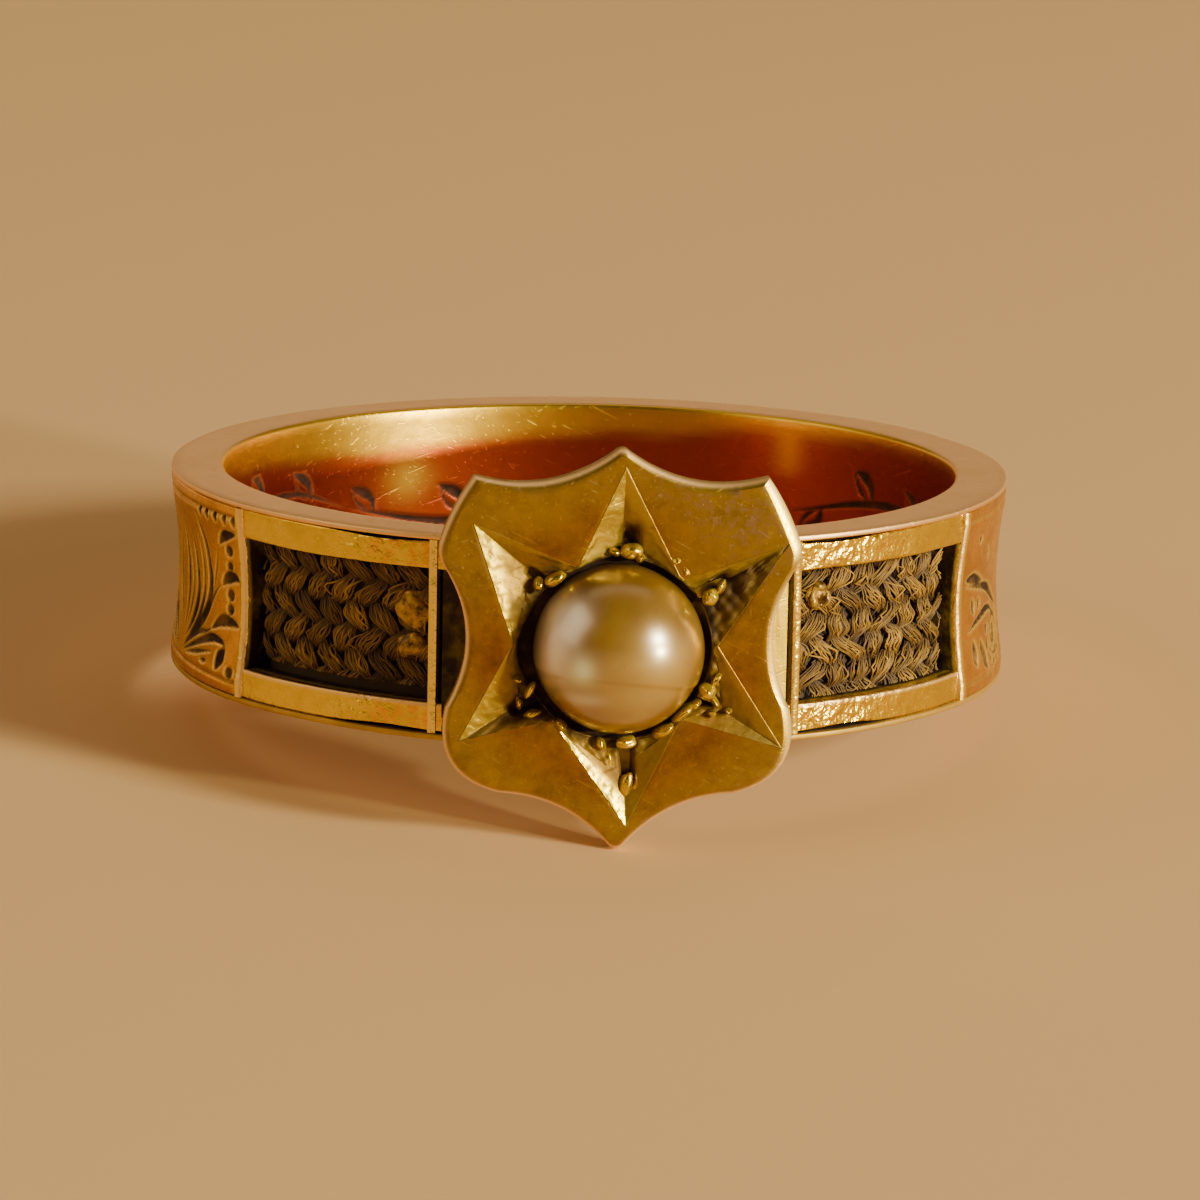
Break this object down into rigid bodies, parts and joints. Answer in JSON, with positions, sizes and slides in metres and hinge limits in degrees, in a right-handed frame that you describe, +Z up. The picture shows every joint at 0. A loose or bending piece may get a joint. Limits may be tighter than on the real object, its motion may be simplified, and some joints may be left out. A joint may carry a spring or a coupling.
{
  "type": "mourning ring",
  "caption": "Finger ring with a flat band, windows onto woven hair and a shield plate that holds a half pearl in a bright-cut star.",
  "frame": {"origin": "middle of the finger bore, on its axis", "axes": "the ring lies as it rests on a level surface: +Z up, the shield towards -Y, the bore's axis in the YZ plane, leaning 6.22 degrees back from +Z towards +Y"},
  "size_m": [0.0194, 0.0218, 0.0088],
  "materials": {
    "rose_gold": "polished rose gold, worn",
    "yellow_gold": "engraved and polished yellow gold, worn",
    "woven_hair": "tightly woven hair",
    "pearl_nacre": "lustrous nacre"
  },
  "bodies": {
    "root": {"liner": "rose_gold", "outer_band": "yellow_gold", "hair_left": "woven_hair", "hair_right": "woven_hair", "pearl": "pearl_nacre"}
  },
  "joints": []
}
